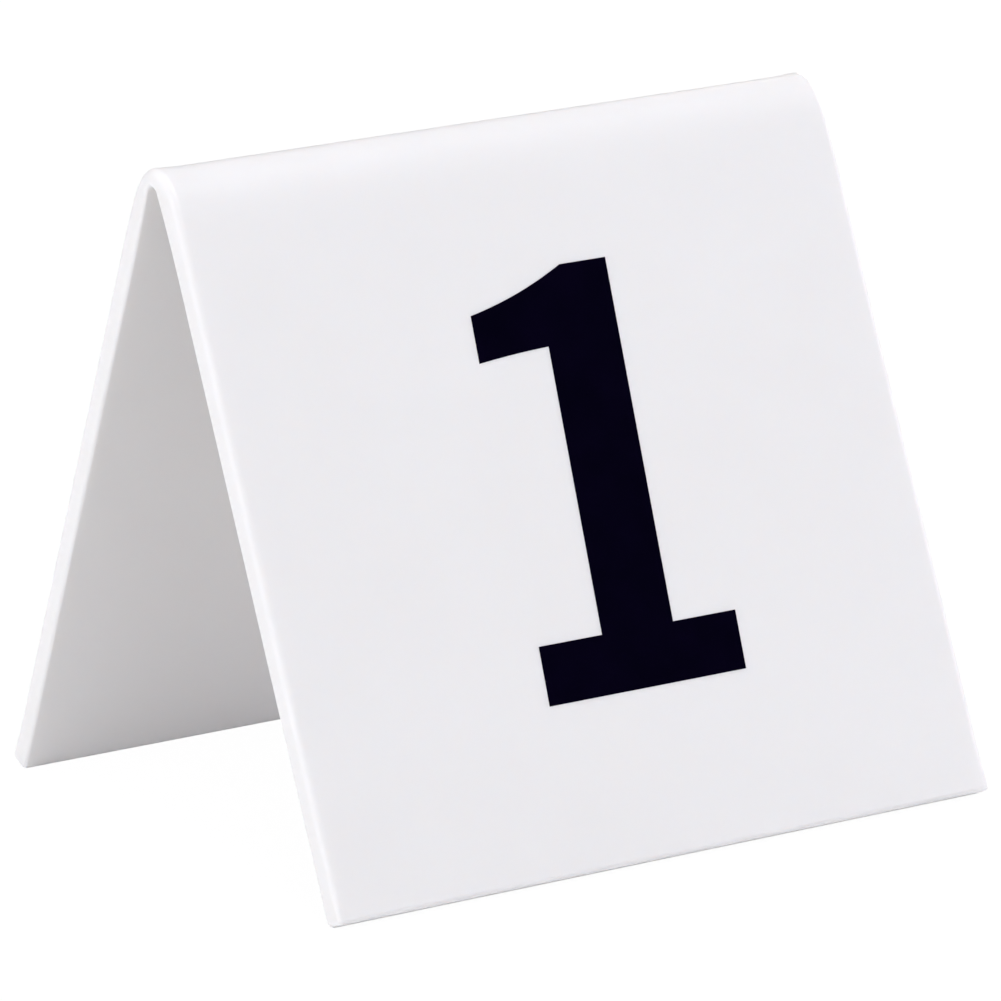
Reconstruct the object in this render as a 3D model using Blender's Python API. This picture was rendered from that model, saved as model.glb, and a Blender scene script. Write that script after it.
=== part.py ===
"""Table number holder: a tent of bent white plastic sheet with a black 1 on each of its sloping faces.

The tent is one piece of sheet, with a square face on each side of a heat-formed bend. Its legs lean out
by the same angle and end in cuts square to the sheet, so it stands on its two inner lower edges, each
dressed to a narrow flat. The numerals are thin inlays, flush with the outer faces.

Frame: metres. The origin is on the table under the middle of the tent, +X runs along the ridge to the
right of someone who faces the front numeral, -Y is towards that person and +Z is up.
"""

from math import asin, atan2, cos, pi, radians, sin, tan

import bmesh
import bpy
from mathutils import Vector

# the sheet, which is cut 3.5 by 7 inches from 1/8 inch stock
WIDTH = 0.0889  # along the ridge
FACE_LENGTH = 0.0889  # from the cut end to the top of the bend, along the middle of the sheet
THICKNESS = 0.003175
LEG_ANGLE = radians(24)  # each leg from the vertical
BEND_INNER_RADIUS = 0.00125
BEND_OUTER_RADIUS = 0.0053
EDGE_RADIUS = 0.0006  # of the rounded arrises along each leg's cut end
SIDE_RADIUS = 0.0005  # of the rounded arrises round the two open sides; it stays below EDGE_RADIUS
LAND_WIDTH = 0.0009  # of the flat that each leg stands on, before its own arrises are rounded

# the numeral 1, upright, with its foot's underside at height 0
NUMERAL_HEIGHT = 0.0504
FOOT_WIDTH = 0.027
FOOT_HEIGHT = 0.007
STEM_WIDTH = 0.00975
TOP_WIDTH = 0.0063  # the level stretch at the top right of the stem
FLAG_REACH = 0.00955  # from the stem to the flag's tip
FLAG_TIP_HEIGHT = 0.00566
FLAG_TIP_DROP = 0.00433  # from the numeral's top to the tip's upper corner
FLAG_ROOT_DROP = 0.00932  # from the numeral's top to where the flag's underside meets the stem
FLAG_TOP_SAG = 0.00046  # how far the flag's upper side curves in from straight
FLAG_UNDERSIDE_RISE = 0.0001  # how far its underside curves up from straight

# the numeral on its face
NUMERAL_LEAN = radians(3.2)  # of its uprights, to the right of the way up the face; its foot stays level
NUMERAL_RISE = 0.0196  # from the face's lower edge to the foot
NUMERAL_OFFSET = 0.0022  # to the right of the face's middle
INLAY_THICKNESS = 0.0005
GAP = 0.0003  # between an inlay and the sheet, at its sides and under it

BEND_STEPS = 24
EDGE_STEPS = 3
FLAG_STEPS = 6
BEVEL_ANGLE = radians(60)  # the sides' arrises turn by more than this, and no corner of the section does
SHARP_ANGLE = radians(40)

FACE_TURNS = {"front": 0, "rear": pi}  # each face with its turn about the vertical

WHITE = (0.86, 0.86, 0.88)
WHITE_ROUGHNESS = 0.3
BLACK = (0.006, 0.002, 0.014)
BLACK_ROUGHNESS = 0.4


def clear_scene():
    for item in list(bpy.data.objects):
        bpy.data.objects.remove(item)


def plastic(name, colour, roughness):
    material = bpy.data.materials.new(name)
    material.use_nodes = True
    shader = material.node_tree.nodes["Principled BSDF"]
    shader.inputs["Base Color"].default_value = (*colour, 1)
    shader.inputs["Roughness"].default_value = roughness
    shader.inputs["Metallic"].default_value = 0
    return material


def arc_round_corner(before, corner, after, radius, steps):
    """Points of the arc that rounds a corner between two straight sides."""
    to_before = (before - corner).normalized()
    to_after = (after - corner).normalized()
    half = to_before.angle(to_after) / 2
    centre = corner + (to_before + to_after).normalized() * radius / sin(half)
    start = corner + to_before * radius / tan(half) - centre
    end = corner + to_after * radius / tan(half) - centre
    first = atan2(start.y, start.x)
    turn = (atan2(end.y, end.x) - first + pi) % (2 * pi) - pi
    angles = [first + turn * i / steps for i in range(steps + 1)]
    return [centre + radius * Vector((cos(a), sin(a))) for a in angles]


def bowed_side(start, end, sag, steps):
    """Points on a shallow arc that passes sag to the left of the line from start to end, ends left out."""
    chord = end - start
    left = Vector((-chord.y, chord.x)).normalized()
    radius = (chord.length**2 / 4 + sag**2) / (2 * sag)
    half = asin(chord.length / 2 / radius)
    centre = (start + end) / 2 - left * (radius - sag)
    across = chord.normalized()
    angles = [half * (2 * i / steps - 1) for i in range(1, steps)]
    return [centre + radius * (across * sin(a) + left * cos(a)) for a in angles]


def offset_outline(outline, distance):
    """The outline, which runs anticlockwise, moved outwards by distance, with mitred corners."""
    moved = []
    for i, corner in enumerate(outline):
        arriving = (corner - outline[i - 1]).normalized()
        leaving = (outline[(i + 1) % len(outline)] - corner).normalized()
        outward = Vector((arriving.y, -arriving.x)) + Vector((leaving.y, -leaving.x))
        outward.normalize()
        moved.append(corner + outward * distance / (outward.x * arriving.y - outward.y * arriving.x))
    return moved


def slab(name, outline, low, high):
    """A mesh of the outline, which lies in local XY and runs anticlockwise, between heights low and high."""
    shape = bmesh.new()
    face = shape.faces.new([shape.verts.new((p.x, p.y, low)) for p in outline])
    raised = bmesh.ops.extrude_face_region(shape, geom=[face])["geom"]
    lifted = [item for item in raised if isinstance(item, bmesh.types.BMVert)]
    bmesh.ops.translate(shape, verts=lifted, vec=(0, 0, high - low))
    bmesh.ops.recalc_face_normals(shape, faces=shape.faces)
    mesh = bpy.data.meshes.new(name)
    shape.to_mesh(mesh)
    shape.free()
    return mesh


def add_object(name, mesh):
    item = bpy.data.objects.new(name, mesh)
    bpy.context.scene.collection.objects.link(item)
    return item


# the tent's section, in the plane across the ridge: x is the frame's Y and y is the frame's Z; its
# origin is the frame's, and the centre of the bend's inner arc is at BEND_HEIGHT above it

LEG_DIRECTION = Vector((sin(LEG_ANGLE), -cos(LEG_ANGLE)))  # down the rear leg
LEG_NORMAL = Vector((cos(LEG_ANGLE), sin(LEG_ANGLE)))  # out of the rear leg
HALF_TURN = pi / 2 - LEG_ANGLE  # the angle that each half of the bend turns through
LEG_LENGTH = FACE_LENGTH - (BEND_INNER_RADIUS + THICKNESS / 2) * HALF_TURN  # the straight part
LAND_HEIGHT = LAND_WIDTH * sin(LEG_ANGLE) * cos(LEG_ANGLE)  # how much dressing the inner edge takes off
BEND_HEIGHT = LEG_LENGTH * cos(LEG_ANGLE) - BEND_INNER_RADIUS * sin(LEG_ANGLE) - LAND_HEIGHT


def on_leg(depth, down):
    """A point of the rear leg, at a depth outwards from the bend's centre and a distance down the leg."""
    return Vector((0, BEND_HEIGHT)) + LEG_NORMAL * depth + LEG_DIRECTION * down


def section_corners():
    """Each sharp corner with its radius and steps, anticlockwise from the rear leg's outer lower one."""
    inner, outer = BEND_INNER_RADIUS, BEND_INNER_RADIUS + THICKNESS
    inner_peak = Vector((0, BEND_HEIGHT + inner / sin(LEG_ANGLE)))
    outer_peak = Vector((0, BEND_HEIGHT + outer / sin(LEG_ANGLE)))
    end = on_leg(inner, LEG_LENGTH)
    land_outer = end + LEG_NORMAL * LAND_HEIGHT / sin(LEG_ANGLE)
    land_inner = end - LEG_DIRECTION * LAND_HEIGHT / cos(LEG_ANGLE)
    rear = [on_leg(outer, LEG_LENGTH), land_outer, land_inner]
    rear_corners = [(corner, EDGE_RADIUS, EDGE_STEPS) for corner in rear]
    front = [Vector((-corner.x, corner.y)) for corner in rear]
    front_corners = [(corner, EDGE_RADIUS, EDGE_STEPS) for corner in front]
    return [
        rear_corners[0],
        (outer_peak, BEND_OUTER_RADIUS, BEND_STEPS),
        *front_corners,
        (inner_peak, BEND_INNER_RADIUS, BEND_STEPS),
        *reversed(rear_corners[1:]),
    ]


def section_outline():
    corners = section_corners()
    points = []
    for i, (corner, radius, steps) in enumerate(corners):
        before, after = corners[i - 1][0], corners[(i + 1) % len(corners)][0]
        points += arc_round_corner(before, corner, after, radius, steps)
    return points


def numeral_outline():
    """The numeral seen from the front, anticlockwise, with its foot's underside centred on the origin."""
    foot, stem = FOOT_WIDTH / 2, STEM_WIDTH / 2
    tip = -stem - FLAG_REACH
    tip_top = Vector((tip, NUMERAL_HEIGHT - FLAG_TIP_DROP))
    tip_bottom = tip_top - Vector((0, FLAG_TIP_HEIGHT))
    top_left = Vector((stem - TOP_WIDTH, NUMERAL_HEIGHT))
    root = Vector((-stem, NUMERAL_HEIGHT - FLAG_ROOT_DROP))
    upright = [
        Vector((-foot, 0)),
        Vector((foot, 0)),
        Vector((foot, FOOT_HEIGHT)),
        Vector((stem, FOOT_HEIGHT)),
        Vector((stem, NUMERAL_HEIGHT)),
        top_left,
        *bowed_side(top_left, tip_top, FLAG_TOP_SAG, FLAG_STEPS),
        tip_top,
        tip_bottom,
        *bowed_side(tip_bottom, root, FLAG_UNDERSIDE_RISE, FLAG_STEPS),
        root,
        Vector((-stem, FOOT_HEIGHT)),
        Vector((-foot, FOOT_HEIGHT)),
    ]
    return [Vector((p.x + p.y * tan(NUMERAL_LEAN), p.y)) for p in upright]


def place_on_face(item, turn):
    """Puts an object on a face: its Y runs up the slope, its origin goes under the middle of the foot."""
    lower_edge = on_leg(BEND_INNER_RADIUS + THICKNESS, LEG_LENGTH)
    foot = lower_edge - LEG_DIRECTION * NUMERAL_RISE
    place = Vector((NUMERAL_OFFSET, -foot.x, foot.y))
    item.rotation_euler = (HALF_TURN, 0, turn)
    item.location = place if turn == 0 else Vector((-place.x, -place.y, place.z))


def add_pocket_cutter(face, turn):
    deep, clear = INLAY_THICKNESS + GAP, INLAY_THICKNESS
    mesh = slab(face + "_pocket", offset_outline(numeral_outline(), GAP), -deep, clear)
    cutter = add_object(face + "_pocket_cutter", mesh)
    place_on_face(cutter, turn)
    cutter.hide_render = True
    cutter.display_type = "WIRE"
    return cutter


def add_tent_sheet(material, cutters):
    mesh = slab("tent_sheet", section_outline(), -WIDTH / 2, WIDTH / 2)
    mesh.materials.append(material)
    tent = add_object("tent_sheet", mesh)
    tent.rotation_euler = (pi / 2, 0, pi / 2)  # the section's x, y and depth become Y, Z and X
    arrises = tent.modifiers.new("rounded_sides", "BEVEL")
    arrises.limit_method = "ANGLE"
    arrises.angle_limit = BEVEL_ANGLE
    arrises.width = SIDE_RADIUS
    arrises.segments = EDGE_STEPS
    for cutter in cutters:
        cut = tent.modifiers.new(cutter.name, "BOOLEAN")
        cut.operation = "DIFFERENCE"
        cut.solver = "EXACT"
        cut.object = cutter
    mesh.shade_smooth()
    mesh.set_sharp_from_angle(angle=SHARP_ANGLE)


def add_numeral(name, material, turn):
    mesh = slab(name, numeral_outline(), -INLAY_THICKNESS, 0)
    mesh.materials.append(material)
    place_on_face(add_object(name, mesh), turn)


clear_scene()
pocket_cutters = [add_pocket_cutter(face, turn) for face, turn in FACE_TURNS.items()]
add_tent_sheet(plastic("white_plastic", WHITE, WHITE_ROUGHNESS), pocket_cutters)
for face_name, face_turn in FACE_TURNS.items():
    ink = plastic(face_name + "_black", BLACK, BLACK_ROUGHNESS)
    add_numeral(face_name + "_numeral", ink, face_turn)
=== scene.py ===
"""The looks of the table number holder: a tent of bent white plastic sheet with a black 1 on each face.

Lengths are in metres, in the CAD model's frame: +X along the ridge, -Y towards the reader of the front
numeral, +Z up, and the table at z = 0. The tent's overall size comes from the frame.
"""

from math import asin, atan2, copysign, cos, erf, exp, pi, radians, sin, tan

import bmesh
import bpy
from mathutils import Matrix, Vector


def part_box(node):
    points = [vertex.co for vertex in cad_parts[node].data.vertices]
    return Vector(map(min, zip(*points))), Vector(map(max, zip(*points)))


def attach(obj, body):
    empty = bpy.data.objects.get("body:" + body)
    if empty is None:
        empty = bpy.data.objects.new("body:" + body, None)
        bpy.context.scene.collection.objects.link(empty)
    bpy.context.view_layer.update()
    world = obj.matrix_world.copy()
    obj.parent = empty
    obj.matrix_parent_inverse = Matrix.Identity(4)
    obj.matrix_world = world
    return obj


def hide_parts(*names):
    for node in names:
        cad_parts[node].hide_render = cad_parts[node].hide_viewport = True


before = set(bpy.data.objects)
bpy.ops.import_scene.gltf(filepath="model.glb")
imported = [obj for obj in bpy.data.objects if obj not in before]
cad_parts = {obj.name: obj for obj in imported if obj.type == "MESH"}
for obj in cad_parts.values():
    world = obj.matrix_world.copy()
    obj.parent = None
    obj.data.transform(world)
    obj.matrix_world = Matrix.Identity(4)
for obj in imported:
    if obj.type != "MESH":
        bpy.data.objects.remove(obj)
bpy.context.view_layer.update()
tent_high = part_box("tent_sheet")[1]

# the sheet's section
EXTRA_WIDTH = 0.00016  # on each side, for what the rounder arrises take off the outline
HALF_WIDTH = tent_high.x + EXTRA_WIDTH
THICKNESS = 0.003175
LEG_ANGLE = radians(24)  # each leg from the vertical
BEND_INNER_RADIUS = 0.00125
BEND_OUTER_RADIUS = 0.0053  # of the arc that would meet both legs at the ridge's height
EDGE_RADIUS = 0.00065  # of the arrises along each leg's cut end
SIDE_INNER_RADIUS = 0.0005  # of the arrises round the hollow's two open sides; it stays below EDGE_RADIUS
SIDE_OUTER_RADIUS = 0.0009  # of the arrises down the outer faces' sides
SIDE_TAPER = 0.005  # how far up from each foot the outer arris grows to its full radius
LAND_WIDTH = 0.0009  # of the flat that each leg stands on, before its arrises are rounded

BEND_TAIL = 2.3  # how many spreads of the bend each of its ends runs out to

# what heating and bending does to the ends of the ridge
# where the sheet keeps its full thickness; the thinned ridge's outer skin gets 0.2 of PULL and 0.6 of LIP
PULL = 0.00035  # how far the stretched outer skin draws in, and the squeezed inner one swells out
LIP = 0.00028  # how far the outer skin stands up
PULL_DEPTH = 0.004  # how far in from the side the pull fades to a third
LIP_DEPTH = 0.0026  # how far in from the side the lip does
BEND_REACH = 0.0065  # how far round the sheet from the ridge both fade to a third

# the numeral, upright, with its foot's underside at height 0
NUMERAL_HEIGHT = 0.0504
FOOT_WIDTH = 0.027
FOOT_HEIGHT = 0.007
STEM_WIDTH = 0.00975
TOP_WIDTH = 0.0063
FLAG_REACH = 0.00955
FLAG_TIP_HEIGHT = 0.00566
FLAG_TIP_DROP = 0.00433
FLAG_ROOT_DROP = 0.00932
FLAG_TOP_SAG = 0.00046
FLAG_UNDERSIDE_RISE = 0.0001
NUMERAL_LEAN = radians(3.2)
NUMERAL_RISE = 0.01965  # from the face's lower edge to the foot
NUMERAL_OFFSET = 0.00194  # to the right of the face's middle
INK_HEIGHT = 0.000035  # how far the ink stands off the face
INK_DEPTH = 0.00003  # how far its underside is let in, so that no gap shows
INK_EDGE = 0.000015  # the rounding of the ink's rim

# how finely the meshes are divided
LEG_STEPS = 26
BEND_STEPS = 60
BEND_SUBSTEPS = 12  # of the outer skin's integration
CORNER_STEPS = 7
SIDE_STEPS = 7
WIDTH_STEPS = 56
FLAG_STEPS = 20
NORMAL_WEIGHT = 80  # how much more the large faces count towards the tent's shading normals

# the plastic: noise scales are in lumps to a metre, and bump distances in metres
PLASTIC_TONES = (0.872, 0.860, 0.845), (0.878, 0.868, 0.855)
PLASTIC_IOR = 1.49
MOTTLE_SCALE = 38
RIPPLE_SCALE = 130
PEEL_SCALE = 900
SCRAPE_SCALE = 900
SCRAPE_STRETCH = (1, 0.04, 0.04)  # which draws the scrape marks out, along Y and Z
SATIN_ROUGHNESS = (0.30, 0.36)
SCRAPED_ROUGHNESS = (0.50, 0.62)
RIPPLE_BUMP = (0.00006, 0.12)  # distance and strength
PEEL_BUMP = (0.00001, 0.12)
SCRAPE_BUMP = (0.00002, 0.4)
SCATTER_WEIGHT = 0.35
SCATTER_RADIUS = (1.0, 0.88, 0.78)
SCATTER_SCALE = 0.0012

# the ink
INK_TONES = (0.0006, 0.0001, 0.0046), (0.0012, 0.0003, 0.0064)
INK_SPECULAR = 0.01
COVER_SCALE = 160
GRAIN_SCALE = 3200
INK_ROUGHNESS = (0.55, 0.72)
GRAIN_BUMP = (0.000006, 0.25)

# camera
CAMERA_AZIMUTH = radians(-31.51)
CAMERA_ELEVATION = radians(15.42)
CAMERA_ROLL = radians(-0.90)
CAMERA_DISTANCE = 0.9186
CAMERA_AIM = Vector((0.00557, 0.00715, 0.03212))
LENS = 276.66
SENSOR = 36.0

# square area lights that face the tent: azimuth and elevation in degrees, distance, size, watts, colour
LIGHTS = {
    "top_light": (0, 68, 1.6, 1.2, 21.3, (0.955, 0.957, 1.0)),
    "top_rear_light": (180, 60, 1.6, 1.2, 6.3, (0.95, 0.95, 1.0)),
    "low_left_light": (-90, 6, 1.5, 0.8, 7.2, (0.93, 0.945, 1.0)),
    "left_light": (-85, 22, 1.6, 1.0, 4.4, (0.94, 0.95, 1.0)),
    "right_light": (85, 25, 1.6, 1.0, 5.2, (0.92, 0.925, 1.0)),
    "front_left_light": (-60, 5, 1.5, 0.8, 2.2, (0.92, 0.93, 1.0)),
    "front_right_light": (60, 5, 1.5, 0.8, 6.1, (0.87, 0.88, 1.0)),
    "rear_left_light": (-135, 25, 1.6, 1.0, 3.2, (1.0, 0.96, 0.93)),
    "rear_right_light": (125, 10, 1.5, 0.9, 9.6, (1.0, 0.9, 0.83)),
}
SKY_COLOUR = (1.0, 1.0, 1.0)  # what the camera sees past the floor's edge; it lights nothing
FLOOR_RADIUS = 6
FLOOR_SEGMENTS = 96
FLOOR_TONES = (0.90, 0.90, 0.90), (0.915, 0.915, 0.915)
FLOOR_ROUGHNESS = 0.8
FLOOR_SPECULAR = 0.1
FLOOR_MOTTLE_SCALE = 14
FLOOR_TINT = (1.0, 0.93, 0.88)  # of the faint light that the table itself gives off
FLOOR_LIGHT = 0.025  # the strength of that light
FLOOR_GLOW = 1.02  # what the camera sees of the floor, where it is wholly lifted
FLOOR_LIFT = 0.95  # the share of what the camera sees of the floor that is lifted

HALF_TURN = pi / 2 - LEG_ANGLE
LEG_DIRECTION = Vector((sin(LEG_ANGLE), -cos(LEG_ANGLE)))  # down the rear leg, in the section's plane
LEG_NORMAL = Vector((cos(LEG_ANGLE), sin(LEG_ANGLE)))  # out of the rear leg
OUTER = BEND_INNER_RADIUS + THICKNESS
THINNING = (BEND_OUTER_RADIUS - OUTER) / sin(LEG_ANGLE)
BEND_HEIGHT = tent_high.z - BEND_OUTER_RADIUS + THINNING
LAND_HEIGHT = LAND_WIDTH * sin(LEG_ANGLE) * cos(LEG_ANGLE)
LEG_LENGTH = (BEND_HEIGHT + BEND_INNER_RADIUS * sin(LEG_ANGLE) + LAND_HEIGHT) / cos(LEG_ANGLE)


# ---------- the tent ----------


def on_leg(depth, down):
    """A point of the rear leg's section, at a depth outwards from the bend's centre and a distance down."""
    return Vector((0, BEND_HEIGHT)) + LEG_NORMAL * depth + LEG_DIRECTION * down


def rounded_corner(before, corner, after, radius, steps):
    """Points and outward normals of the arc that rounds a corner of an anticlockwise outline."""
    to_before = (before - corner).normalized()
    to_after = (after - corner).normalized()
    half = to_before.angle(to_after) / 2
    centre = corner + (to_before + to_after).normalized() * radius / sin(half)
    start = corner + to_before * radius / tan(half) - centre
    end = corner + to_after * radius / tan(half) - centre
    first = atan2(start.y, start.x)
    turn = (atan2(end.y, end.x) - first + pi) % (2 * pi) - pi
    side = 1 if turn > 0 else -1  # an inward corner's normals point at its centre
    found = []
    for i in range(steps + 1):
        angle = first + turn * i / steps
        spoke = Vector((cos(angle), sin(angle)))
        found.append((centre + spoke * radius, spoke * side))
    return found


def straight(start, end, steps):
    """Points and normals between two neighbours of an outline, ends left out."""
    return [(start[0].lerp(end[0], i / steps), start[1]) for i in range(1, steps)]


def bell_bend(height):
    """The outer skin over the ridge, from the rear leg to the front one, as points with normals.

    The bend is tightest at the ridge and fades out down each leg as a bell curve does. height is how far the
    ridge stays below the peak where the two legs' outer faces would meet.
    """
    half = BEND_STEPS // 2
    count = half * BEND_SUBSTEPS
    step = BEND_TAIL / count
    turned = [HALF_TURN * erf((i + 0.5) * step) / erf(BEND_TAIL) for i in range(count)]
    spread = height * sin(LEG_ANGLE) / (sum(sin(HALF_TURN - angle) for angle in turned) * step)
    place = Vector((0, tent_high.z))
    front_half = [(place, Vector((0, 1)))]
    for i in range(count):
        place = place - Vector((cos(turned[i]), sin(turned[i]))) * step * spread
        if (i + 1) % BEND_SUBSTEPS == 0:
            angle = HALF_TURN * erf((i + 1) * step) / erf(BEND_TAIL)
            front_half.append((place, Vector((-sin(angle), cos(angle)))))
    rear_half = [(Vector((-p.x, p.y)), Vector((-n.x, n.y))) for p, n in front_half[1:]]
    return rear_half[::-1] + front_half


def section():
    """The section's outer side, front end, inner side and rear end, as runs of points with normals."""
    inner_peak = Vector((0, BEND_HEIGHT + BEND_INNER_RADIUS / sin(LEG_ANGLE)))
    outer_peak = Vector((0, BEND_HEIGHT + OUTER / sin(LEG_ANGLE)))
    end = on_leg(BEND_INNER_RADIUS, LEG_LENGTH)
    lower = [
        on_leg(OUTER, LEG_LENGTH),
        end + LEG_NORMAL * LAND_HEIGHT / sin(LEG_ANGLE),
        end - LEG_DIRECTION * LAND_HEIGHT / cos(LEG_ANGLE),
    ]
    mirrored = [Vector((-corner.x, corner.y)) for corner in lower]
    corners = [lower[0], outer_peak, *mirrored, inner_peak, lower[2], lower[1]]

    def rounded(i, radius=EDGE_RADIUS, steps=CORNER_STEPS):
        after = corners[(i + 1) % len(corners)]
        return rounded_corner(corners[i - 1], corners[i], after, radius, steps)

    rear_low = rounded(0)
    ridge = bell_bend(outer_peak.y - tent_high.z)
    front_low, front_out, front_in = rounded(2), rounded(3), rounded(4)
    hollow = rounded(5, BEND_INNER_RADIUS, BEND_STEPS)
    rear_in, rear_out = rounded(6), rounded(7)

    def side(low, bend, far):
        up = straight(low[-1], bend[0], LEG_STEPS)
        down = straight(bend[-1], far[0], LEG_STEPS)
        return [low[-1], *up, *bend, *down, far[0]]

    outer_side = side(rear_low, ridge, front_low)
    inner_side = side(front_in, hollow, rear_in)
    front_end = front_low[1:] + front_out + front_in[:-1]
    rear_end = rear_in[1:] + rear_out + rear_low[:-1]
    return outer_side, front_end, inner_side, rear_end


def stations():
    """Where the section is repeated: each place along X with how far the rounding has turned there."""
    flat = HALF_WIDTH - SIDE_OUTER_RADIUS
    across = [(flat * sin(pi / 2 * (2 * i / WIDTH_STEPS - 1)), 0.0) for i in range(WIDTH_STEPS + 1)]
    rim = [(HALF_WIDTH, pi / 2 * i / SIDE_STEPS) for i in range(1, SIDE_STEPS + 1)]
    return [(-x, turn) for x, turn in reversed(rim)] + across + rim


def side_radius(point):
    """The radius of the side's arris at a point of the outer side."""
    down = (Vector((abs(point.x), point.y)) - Vector((0, BEND_HEIGHT))).dot(LEG_DIRECTION)
    grown = min(1.0, (LEG_LENGTH - down) / SIDE_TAPER)
    eased = grown**2 * (3 - 2 * grown)
    return SIDE_INNER_RADIUS + (SIDE_OUTER_RADIUS - SIDE_INNER_RADIUS) * eased


def rounded_side(x, turn, point, normal, radius):
    """A point of the outline at a station, drawn in as the side's rounding does."""
    if turn:
        x = copysign(HALF_WIDTH - radius * (1 - sin(turn)), x)
    return formed(x, point - normal * radius * (1 - cos(turn)))


def depth_in_sheet(point):
    """-1 on the sheet's inner face, 0 half a leg's thickness out from it and 1 on the legs' outer faces."""
    leg = Vector((abs(point.x), point.y)) - Vector((0, BEND_HEIGHT))
    out = leg.dot(LEG_NORMAL) if leg.dot(LEG_DIRECTION) > 0 else leg.length
    middle = BEND_INNER_RADIUS + THICKNESS / 2
    return (out - middle) / (THICKNESS / 2)


def formed(x, point):
    """A point of the sheet in the frame, with what bending does to the ridge's ends."""
    along = (Vector((abs(point.x), point.y)) - Vector((0, tent_high.z))).length
    near_ridge = exp(-((along / BEND_REACH) ** 2))
    in_from_side = max(0.0, HALF_WIDTH - abs(x))
    depth = depth_in_sheet(point)
    pull = PULL * near_ridge * exp(-in_from_side / PULL_DEPTH) * depth
    lift = LIP * near_ridge * exp(-((in_from_side / LIP_DEPTH) ** 2)) * (1 + depth) / 2
    side = 1 if x > 0 else -1
    return (x - side * pull, point.x, point.y + lift)


def tent_mesh():
    outer_side, front_end, inner_side, rear_end = section()
    outline = outer_side + front_end + inner_side + rear_end
    count, places = len(outline), stations()
    radii = [side_radius(point) for point, normal in outer_side]
    radii += [SIDE_INNER_RADIUS] * (count - len(radii))
    shape = bmesh.new()
    rows = []
    for x, turn in places:
        spots = [rounded_side(x, turn, *corner, radius) for corner, radius in zip(outline, radii)]
        rows.append([shape.verts.new(spot) for spot in spots])
    for row, following in zip(rows, rows[1:]):
        for i in range(count):
            j = (i + 1) % count
            shape.faces.new((row[i], row[j], following[j], following[i]))
    a, b, c = len(outer_side), len(outer_side + front_end), count - len(rear_end)
    for row, turned in ((rows[0], True), (rows[-1], False)):
        outer, inner = row[:a], row[b:c][::-1]
        patches = [(outer[i], outer[i + 1], inner[i + 1], inner[i]) for i in range(a - 1)]
        patches.append((outer[-1], *row[a:b], inner[-1]))
        patches.append((inner[0], *row[c:], outer[0]))
        for patch in patches:
            shape.faces.new(patch[::-1] if turned else patch)
    bmesh.ops.recalc_face_normals(shape, faces=shape.faces)
    mesh = bpy.data.meshes.new("tent")
    shape.to_mesh(mesh)
    shape.free()
    cut = [0.0] * a + [1.0] * len(front_end) + [0.0] * len(inner_side) + [1.0] * len(rear_end)
    worked = mesh.attributes.new("cut_edge", "FLOAT", "POINT")
    values = [max(share, 1 - cos(turn)) for x, turn in places for share in cut]
    worked.data.foreach_set("value", values)
    mesh.shade_smooth()
    return mesh


def add_tent(material):
    tent = bpy.data.objects.new("tent", tent_mesh())
    bpy.context.scene.collection.objects.link(tent)
    tent.data.materials.append(material)
    level = tent.modifiers.new("even_normals", "WEIGHTED_NORMAL")
    level.mode = "FACE_AREA"
    level.weight = NORMAL_WEIGHT
    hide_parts("tent_sheet")
    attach(tent, "root")


# ---------- the numerals ----------


def bowed_side(start, end, sag, steps):
    """Points on a shallow arc that passes sag to the left of the line from start to end, ends left out."""
    chord = end - start
    left = Vector((-chord.y, chord.x)).normalized()
    radius = (chord.length**2 / 4 + sag**2) / (2 * sag)
    half = asin(chord.length / 2 / radius)
    centre = (start + end) / 2 - left * (radius - sag)
    across = chord.normalized()
    angles = [half * (2 * i / steps - 1) for i in range(1, steps)]
    return [centre + radius * (across * sin(a) + left * cos(a)) for a in angles]


def numeral_outline():
    """The numeral seen from the front, anticlockwise, with its foot's underside centred on the origin."""
    foot, stem = FOOT_WIDTH / 2, STEM_WIDTH / 2
    tip = -stem - FLAG_REACH
    tip_top = Vector((tip, NUMERAL_HEIGHT - FLAG_TIP_DROP))
    tip_bottom = tip_top - Vector((0, FLAG_TIP_HEIGHT))
    top_left = Vector((stem - TOP_WIDTH, NUMERAL_HEIGHT))
    root = Vector((-stem, NUMERAL_HEIGHT - FLAG_ROOT_DROP))
    upright = [
        Vector((-foot, 0)),
        Vector((foot, 0)),
        Vector((foot, FOOT_HEIGHT)),
        Vector((stem, FOOT_HEIGHT)),
        Vector((stem, NUMERAL_HEIGHT)),
        top_left,
        *bowed_side(top_left, tip_top, FLAG_TOP_SAG, FLAG_STEPS),
        tip_top,
        tip_bottom,
        *bowed_side(tip_bottom, root, FLAG_UNDERSIDE_RISE, FLAG_STEPS),
        root,
        Vector((-stem, FOOT_HEIGHT)),
        Vector((-foot, FOOT_HEIGHT)),
    ]
    return [Vector((p.x + p.y * tan(NUMERAL_LEAN), p.y)) for p in upright]


def numeral_mesh(name):
    """A film of ink in local XY, Z out of the face, with a rounded rim."""
    shape = bmesh.new()
    base = shape.faces.new([shape.verts.new((p.x, p.y, -INK_DEPTH)) for p in numeral_outline()])
    raised = bmesh.ops.extrude_face_region(shape, geom=[base])["geom"]
    lifted = [item for item in raised if isinstance(item, bmesh.types.BMVert)]
    bmesh.ops.translate(shape, verts=lifted, vec=(0, 0, INK_HEIGHT + INK_DEPTH))
    top = next(item for item in raised if isinstance(item, bmesh.types.BMFace))
    bmesh.ops.bevel(shape, geom=list(top.edges), offset=INK_EDGE, segments=2, affect="EDGES", profile=0.5)
    bmesh.ops.recalc_face_normals(shape, faces=shape.faces)
    mesh = bpy.data.meshes.new(name)
    shape.to_mesh(mesh)
    shape.free()
    return mesh


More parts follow.
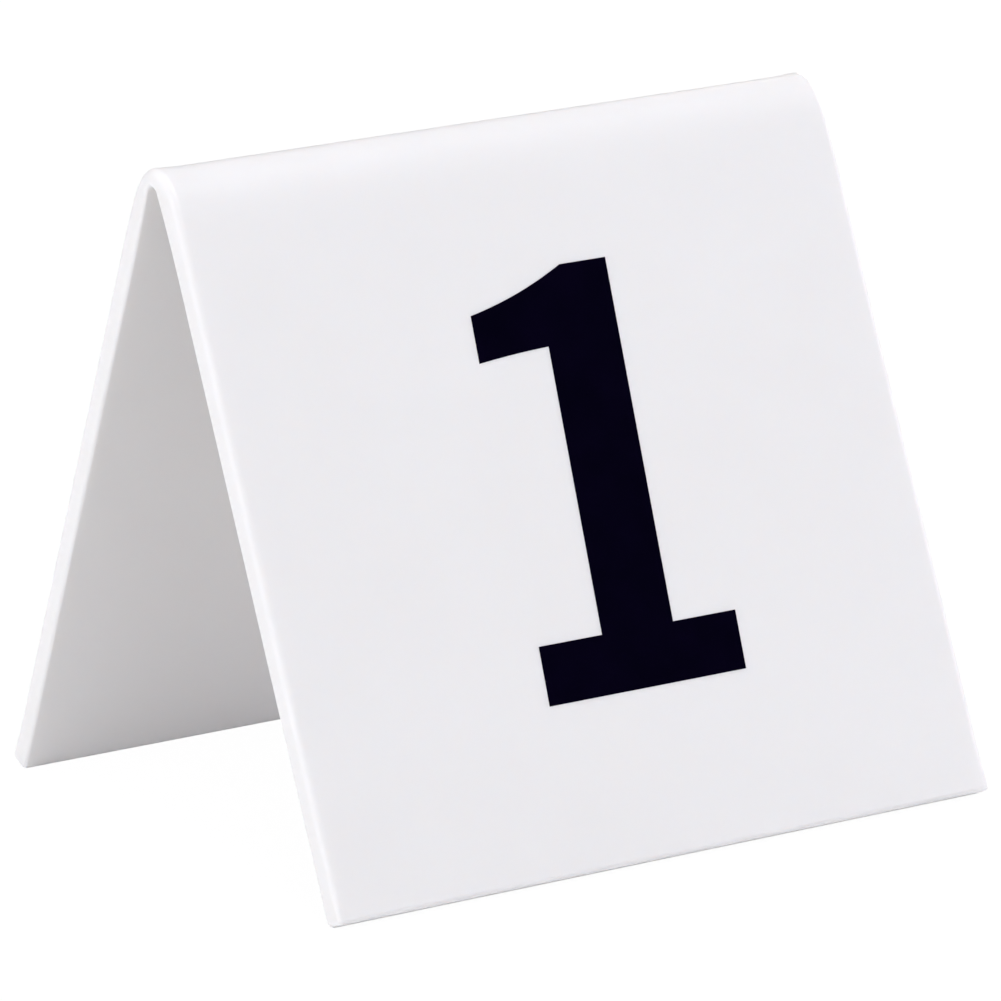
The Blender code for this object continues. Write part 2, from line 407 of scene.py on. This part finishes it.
def add_numeral(face, turn, material):
    """The ink on one face; turn is the face's turn about the vertical."""
    ink = bpy.data.objects.new(face + "_ink", numeral_mesh(face + "_ink"))
    bpy.context.scene.collection.objects.link(ink)
    ink.data.materials.append(material)
    lower_edge = on_leg(OUTER, LEG_LENGTH)
    foot = lower_edge - LEG_DIRECTION * NUMERAL_RISE
    place = Matrix.Translation((NUMERAL_OFFSET, -foot.x, foot.y)) @ Matrix.Rotation(HALF_TURN, 4, "X")
    ink.matrix_world = Matrix.Rotation(turn, 4, "Z") @ place
    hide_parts(face + "_numeral")
    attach(ink, "root")


# ---------- materials ----------


class Nodes:
    """A new material's node tree, with short calls for the nodes that are used more than once."""

    def __init__(self, name):
        self.material = bpy.data.materials.new(name)
        self.material.use_nodes = True
        self.tree = self.material.node_tree
        self.shader = self.tree.nodes["Principled BSDF"]

    def link(self, output, target):
        self.tree.links.new(output, target)

    def add(self, kind, **settings):
        node = self.tree.nodes.new(kind)
        for name, value in settings.items():
            setattr(node, name, value)
        return node

    def stretched(self, scale):
        """Object coordinates in metres, multiplied by scale along X, Y and Z."""
        place = self.add("ShaderNodeTexCoord")
        mapping = self.add("ShaderNodeMapping")
        mapping.inputs["Scale"].default_value = scale
        self.link(place.outputs["Object"], mapping.inputs["Vector"])
        return mapping.outputs["Vector"]

    def noise(self, scale, detail, stretch=(1, 1, 1)):
        """Noise with about scale lumps to a metre, stretched along an axis where stretch is below 1."""
        node = self.add("ShaderNodeTexNoise")
        node.inputs["Scale"].default_value = scale
        node.inputs["Detail"].default_value = detail
        self.link(self.stretched(stretch), node.inputs["Vector"])
        return node.outputs["Fac"]

    def ranged(self, value, low, high, from_low=0.35, from_high=0.65):
        """value, which runs mostly from from_low to from_high, brought to low to high."""
        node = self.add("ShaderNodeMapRange")
        for name, number in (
            ("From Min", from_low),
            ("From Max", from_high),
            ("To Min", low),
            ("To Max", high),
        ):
            node.inputs[name].default_value = number
        self.link(value, node.inputs["Value"])
        return node.outputs["Result"]

    def mixed(self, share, first, second):
        """Two colours or outputs mixed by share."""
        node = self.add("ShaderNodeMix", data_type="RGBA")
        self.link(share, node.inputs["Factor"])
        colour_sockets = node.inputs[6], node.inputs[7]  # their names, A and B, belong to other types' too
        for socket, colour in zip(colour_sockets, (first, second)):
            if isinstance(colour, tuple):
                socket.default_value = (*colour, 1)
            else:
                self.link(colour, socket)
        return node.outputs[2]

    def maths(self, operation, first, second):
        node = self.add("ShaderNodeMath", operation=operation)
        for socket, value in zip(node.inputs, (first, second)):
            if isinstance(value, (int, float)):
                socket.default_value = value
            else:
                self.link(value, socket)
        return node.outputs["Value"]

    def bump(self, height, distance, strength, below=None):
        node = self.add("ShaderNodeBump")
        node.inputs["Distance"].default_value = distance
        node.inputs["Strength"].default_value = strength
        self.link(height, node.inputs["Height"])
        if below:
            self.link(below, node.inputs["Normal"])
        return node.outputs["Normal"]


def white_plastic():
    """Opaque white sheet: satin faces with a faint ripple, and scraped cut edges."""
    kit = Nodes("white_plastic")
    shader = kit.shader
    cut = kit.add("ShaderNodeAttribute", attribute_name="cut_edge").outputs["Fac"]

    mottle = kit.ranged(kit.noise(MOTTLE_SCALE, 3), 0, 1)
    kit.link(kit.mixed(mottle, *PLASTIC_TONES), shader.inputs["Base Color"])

    ripple = kit.noise(RIPPLE_SCALE, 2)
    peel = kit.noise(PEEL_SCALE, 3)
    scrape = kit.noise(SCRAPE_SCALE, 3, SCRAPE_STRETCH)
    satin = kit.ranged(ripple, *SATIN_ROUGHNESS)
    scraped = kit.ranged(scrape, *SCRAPED_ROUGHNESS)
    rough = kit.maths("ADD", satin, kit.maths("MULTIPLY", cut, kit.maths("SUBTRACT", scraped, satin)))
    kit.link(rough, shader.inputs["Roughness"])

    rippled = kit.bump(ripple, *RIPPLE_BUMP)
    peeled = kit.bump(peel, *PEEL_BUMP, rippled)
    lined = kit.maths("MULTIPLY", scrape, cut)
    kit.link(kit.bump(lined, *SCRAPE_BUMP, peeled), shader.inputs["Normal"])

    shader.inputs["Metallic"].default_value = 0
    shader.inputs["IOR"].default_value = PLASTIC_IOR
    shader.inputs["Subsurface Weight"].default_value = SCATTER_WEIGHT
    shader.inputs["Subsurface Radius"].default_value = SCATTER_RADIUS
    shader.inputs["Subsurface Scale"].default_value = SCATTER_SCALE
    return kit.material


def black_ink():
    """Dense matt ink with a faint blue cast, a fine grain and slightly uneven cover."""
    kit = Nodes("black_ink")
    shader = kit.shader
    cover = kit.ranged(kit.noise(COVER_SCALE, 3), 0, 1)
    kit.link(kit.mixed(cover, *INK_TONES), shader.inputs["Base Color"])
    grain = kit.noise(GRAIN_SCALE, 2)
    kit.link(kit.ranged(grain, *INK_ROUGHNESS), shader.inputs["Roughness"])
    kit.link(kit.bump(grain, *GRAIN_BUMP), shader.inputs["Normal"])
    shader.inputs["Metallic"].default_value = 0
    shader.inputs["Specular IOR Level"].default_value = INK_SPECULAR
    return kit.material


# ---------- the stage ----------


def add_floor():
    """A plain white table. It gives off a faint light, and the camera sees it lifted nearly to white."""
    shape = bmesh.new()
    bmesh.ops.create_circle(shape, cap_ends=True, segments=FLOOR_SEGMENTS, radius=FLOOR_RADIUS)
    mesh = bpy.data.meshes.new("floor")
    shape.to_mesh(mesh)
    shape.free()
    floor = bpy.data.objects.new("floor", mesh)
    bpy.context.scene.collection.objects.link(floor)
    kit = Nodes("floor_white")
    mottle = kit.ranged(kit.noise(FLOOR_MOTTLE_SCALE, 4), 0, 1)
    kit.link(kit.mixed(mottle, *FLOOR_TONES), kit.shader.inputs["Base Color"])
    kit.shader.inputs["Roughness"].default_value = FLOOR_ROUGHNESS
    kit.shader.inputs["Specular IOR Level"].default_value = FLOOR_SPECULAR
    kit.shader.inputs["Emission Color"].default_value = (*FLOOR_TINT, 1)
    kit.shader.inputs["Emission Strength"].default_value = FLOOR_LIGHT
    glow = kit.add("ShaderNodeEmission")
    glow.inputs["Strength"].default_value = FLOOR_GLOW
    blend = kit.add("ShaderNodeMixShader")
    seen = kit.add("ShaderNodeLightPath").outputs["Is Camera Ray"]
    kit.link(kit.maths("MULTIPLY", seen, FLOOR_LIFT), blend.inputs["Fac"])
    kit.link(kit.shader.outputs["BSDF"], blend.inputs[1])
    kit.link(glow.outputs["Emission"], blend.inputs[2])
    kit.link(blend.outputs["Shader"], kit.tree.nodes["Material Output"].inputs["Surface"])
    mesh.materials.append(kit.material)


def add_sky():
    """A sky that only the camera sees."""
    world = bpy.data.worlds.new("studio")
    bpy.context.scene.world = world
    world.use_nodes = True
    sky = world.node_tree.nodes["Background"]
    sky.inputs["Color"].default_value = (*SKY_COLOUR, 1)
    seen = world.node_tree.nodes.new("ShaderNodeLightPath").outputs["Is Camera Ray"]
    world.node_tree.links.new(seen, sky.inputs["Strength"])


def add_softbox(name, azimuth, elevation, distance, size, power, colour):
    """A square area light that faces the tent; its azimuth and elevation are measured as the camera's."""
    light = bpy.data.lights.new(name, "AREA")
    light.shape = "SQUARE"
    light.size = size
    light.energy = power
    light.color = colour
    box = bpy.data.objects.new(name, light)
    bpy.context.scene.collection.objects.link(box)
    a, e = radians(azimuth), radians(elevation)
    back = Vector((sin(a) * cos(e), -cos(a) * cos(e), sin(e)))
    half_way_up = Vector((0, 0, tent_high.z / 2))
    box.location = half_way_up + back * distance
    box.rotation_euler = back.to_track_quat("Z", "Y").to_euler()


def add_camera():
    a, e, roll = CAMERA_AZIMUTH, CAMERA_ELEVATION, CAMERA_ROLL
    back = Vector((sin(a) * cos(e), -cos(a) * cos(e), sin(e)))
    level_right = (-back).cross(Vector((0, 0, 1))).normalized()
    level_up = level_right.cross(-back)
    right = level_right * cos(roll) + level_up * sin(roll)
    up = level_up * cos(roll) - level_right * sin(roll)
    data = bpy.data.cameras.new("camera")
    data.sensor_width = SENSOR
    data.lens = LENS
    camera = bpy.data.objects.new("camera", data)
    bpy.context.scene.collection.objects.link(camera)
    turn = Matrix((right, up, back)).transposed().to_4x4()
    camera.matrix_world = Matrix.Translation(CAMERA_AIM + back * CAMERA_DISTANCE) @ turn
    bpy.context.scene.camera = camera


add_tent(white_plastic())
numeral_ink = black_ink()
for face_name, face_turn in (("front", 0), ("rear", pi)):
    add_numeral(face_name, face_turn, numeral_ink)
add_floor()
add_sky()
for light_name, setting in LIGHTS.items():
    add_softbox(light_name, *setting)
add_camera()
bpy.context.scene.view_settings.view_transform = "Standard"
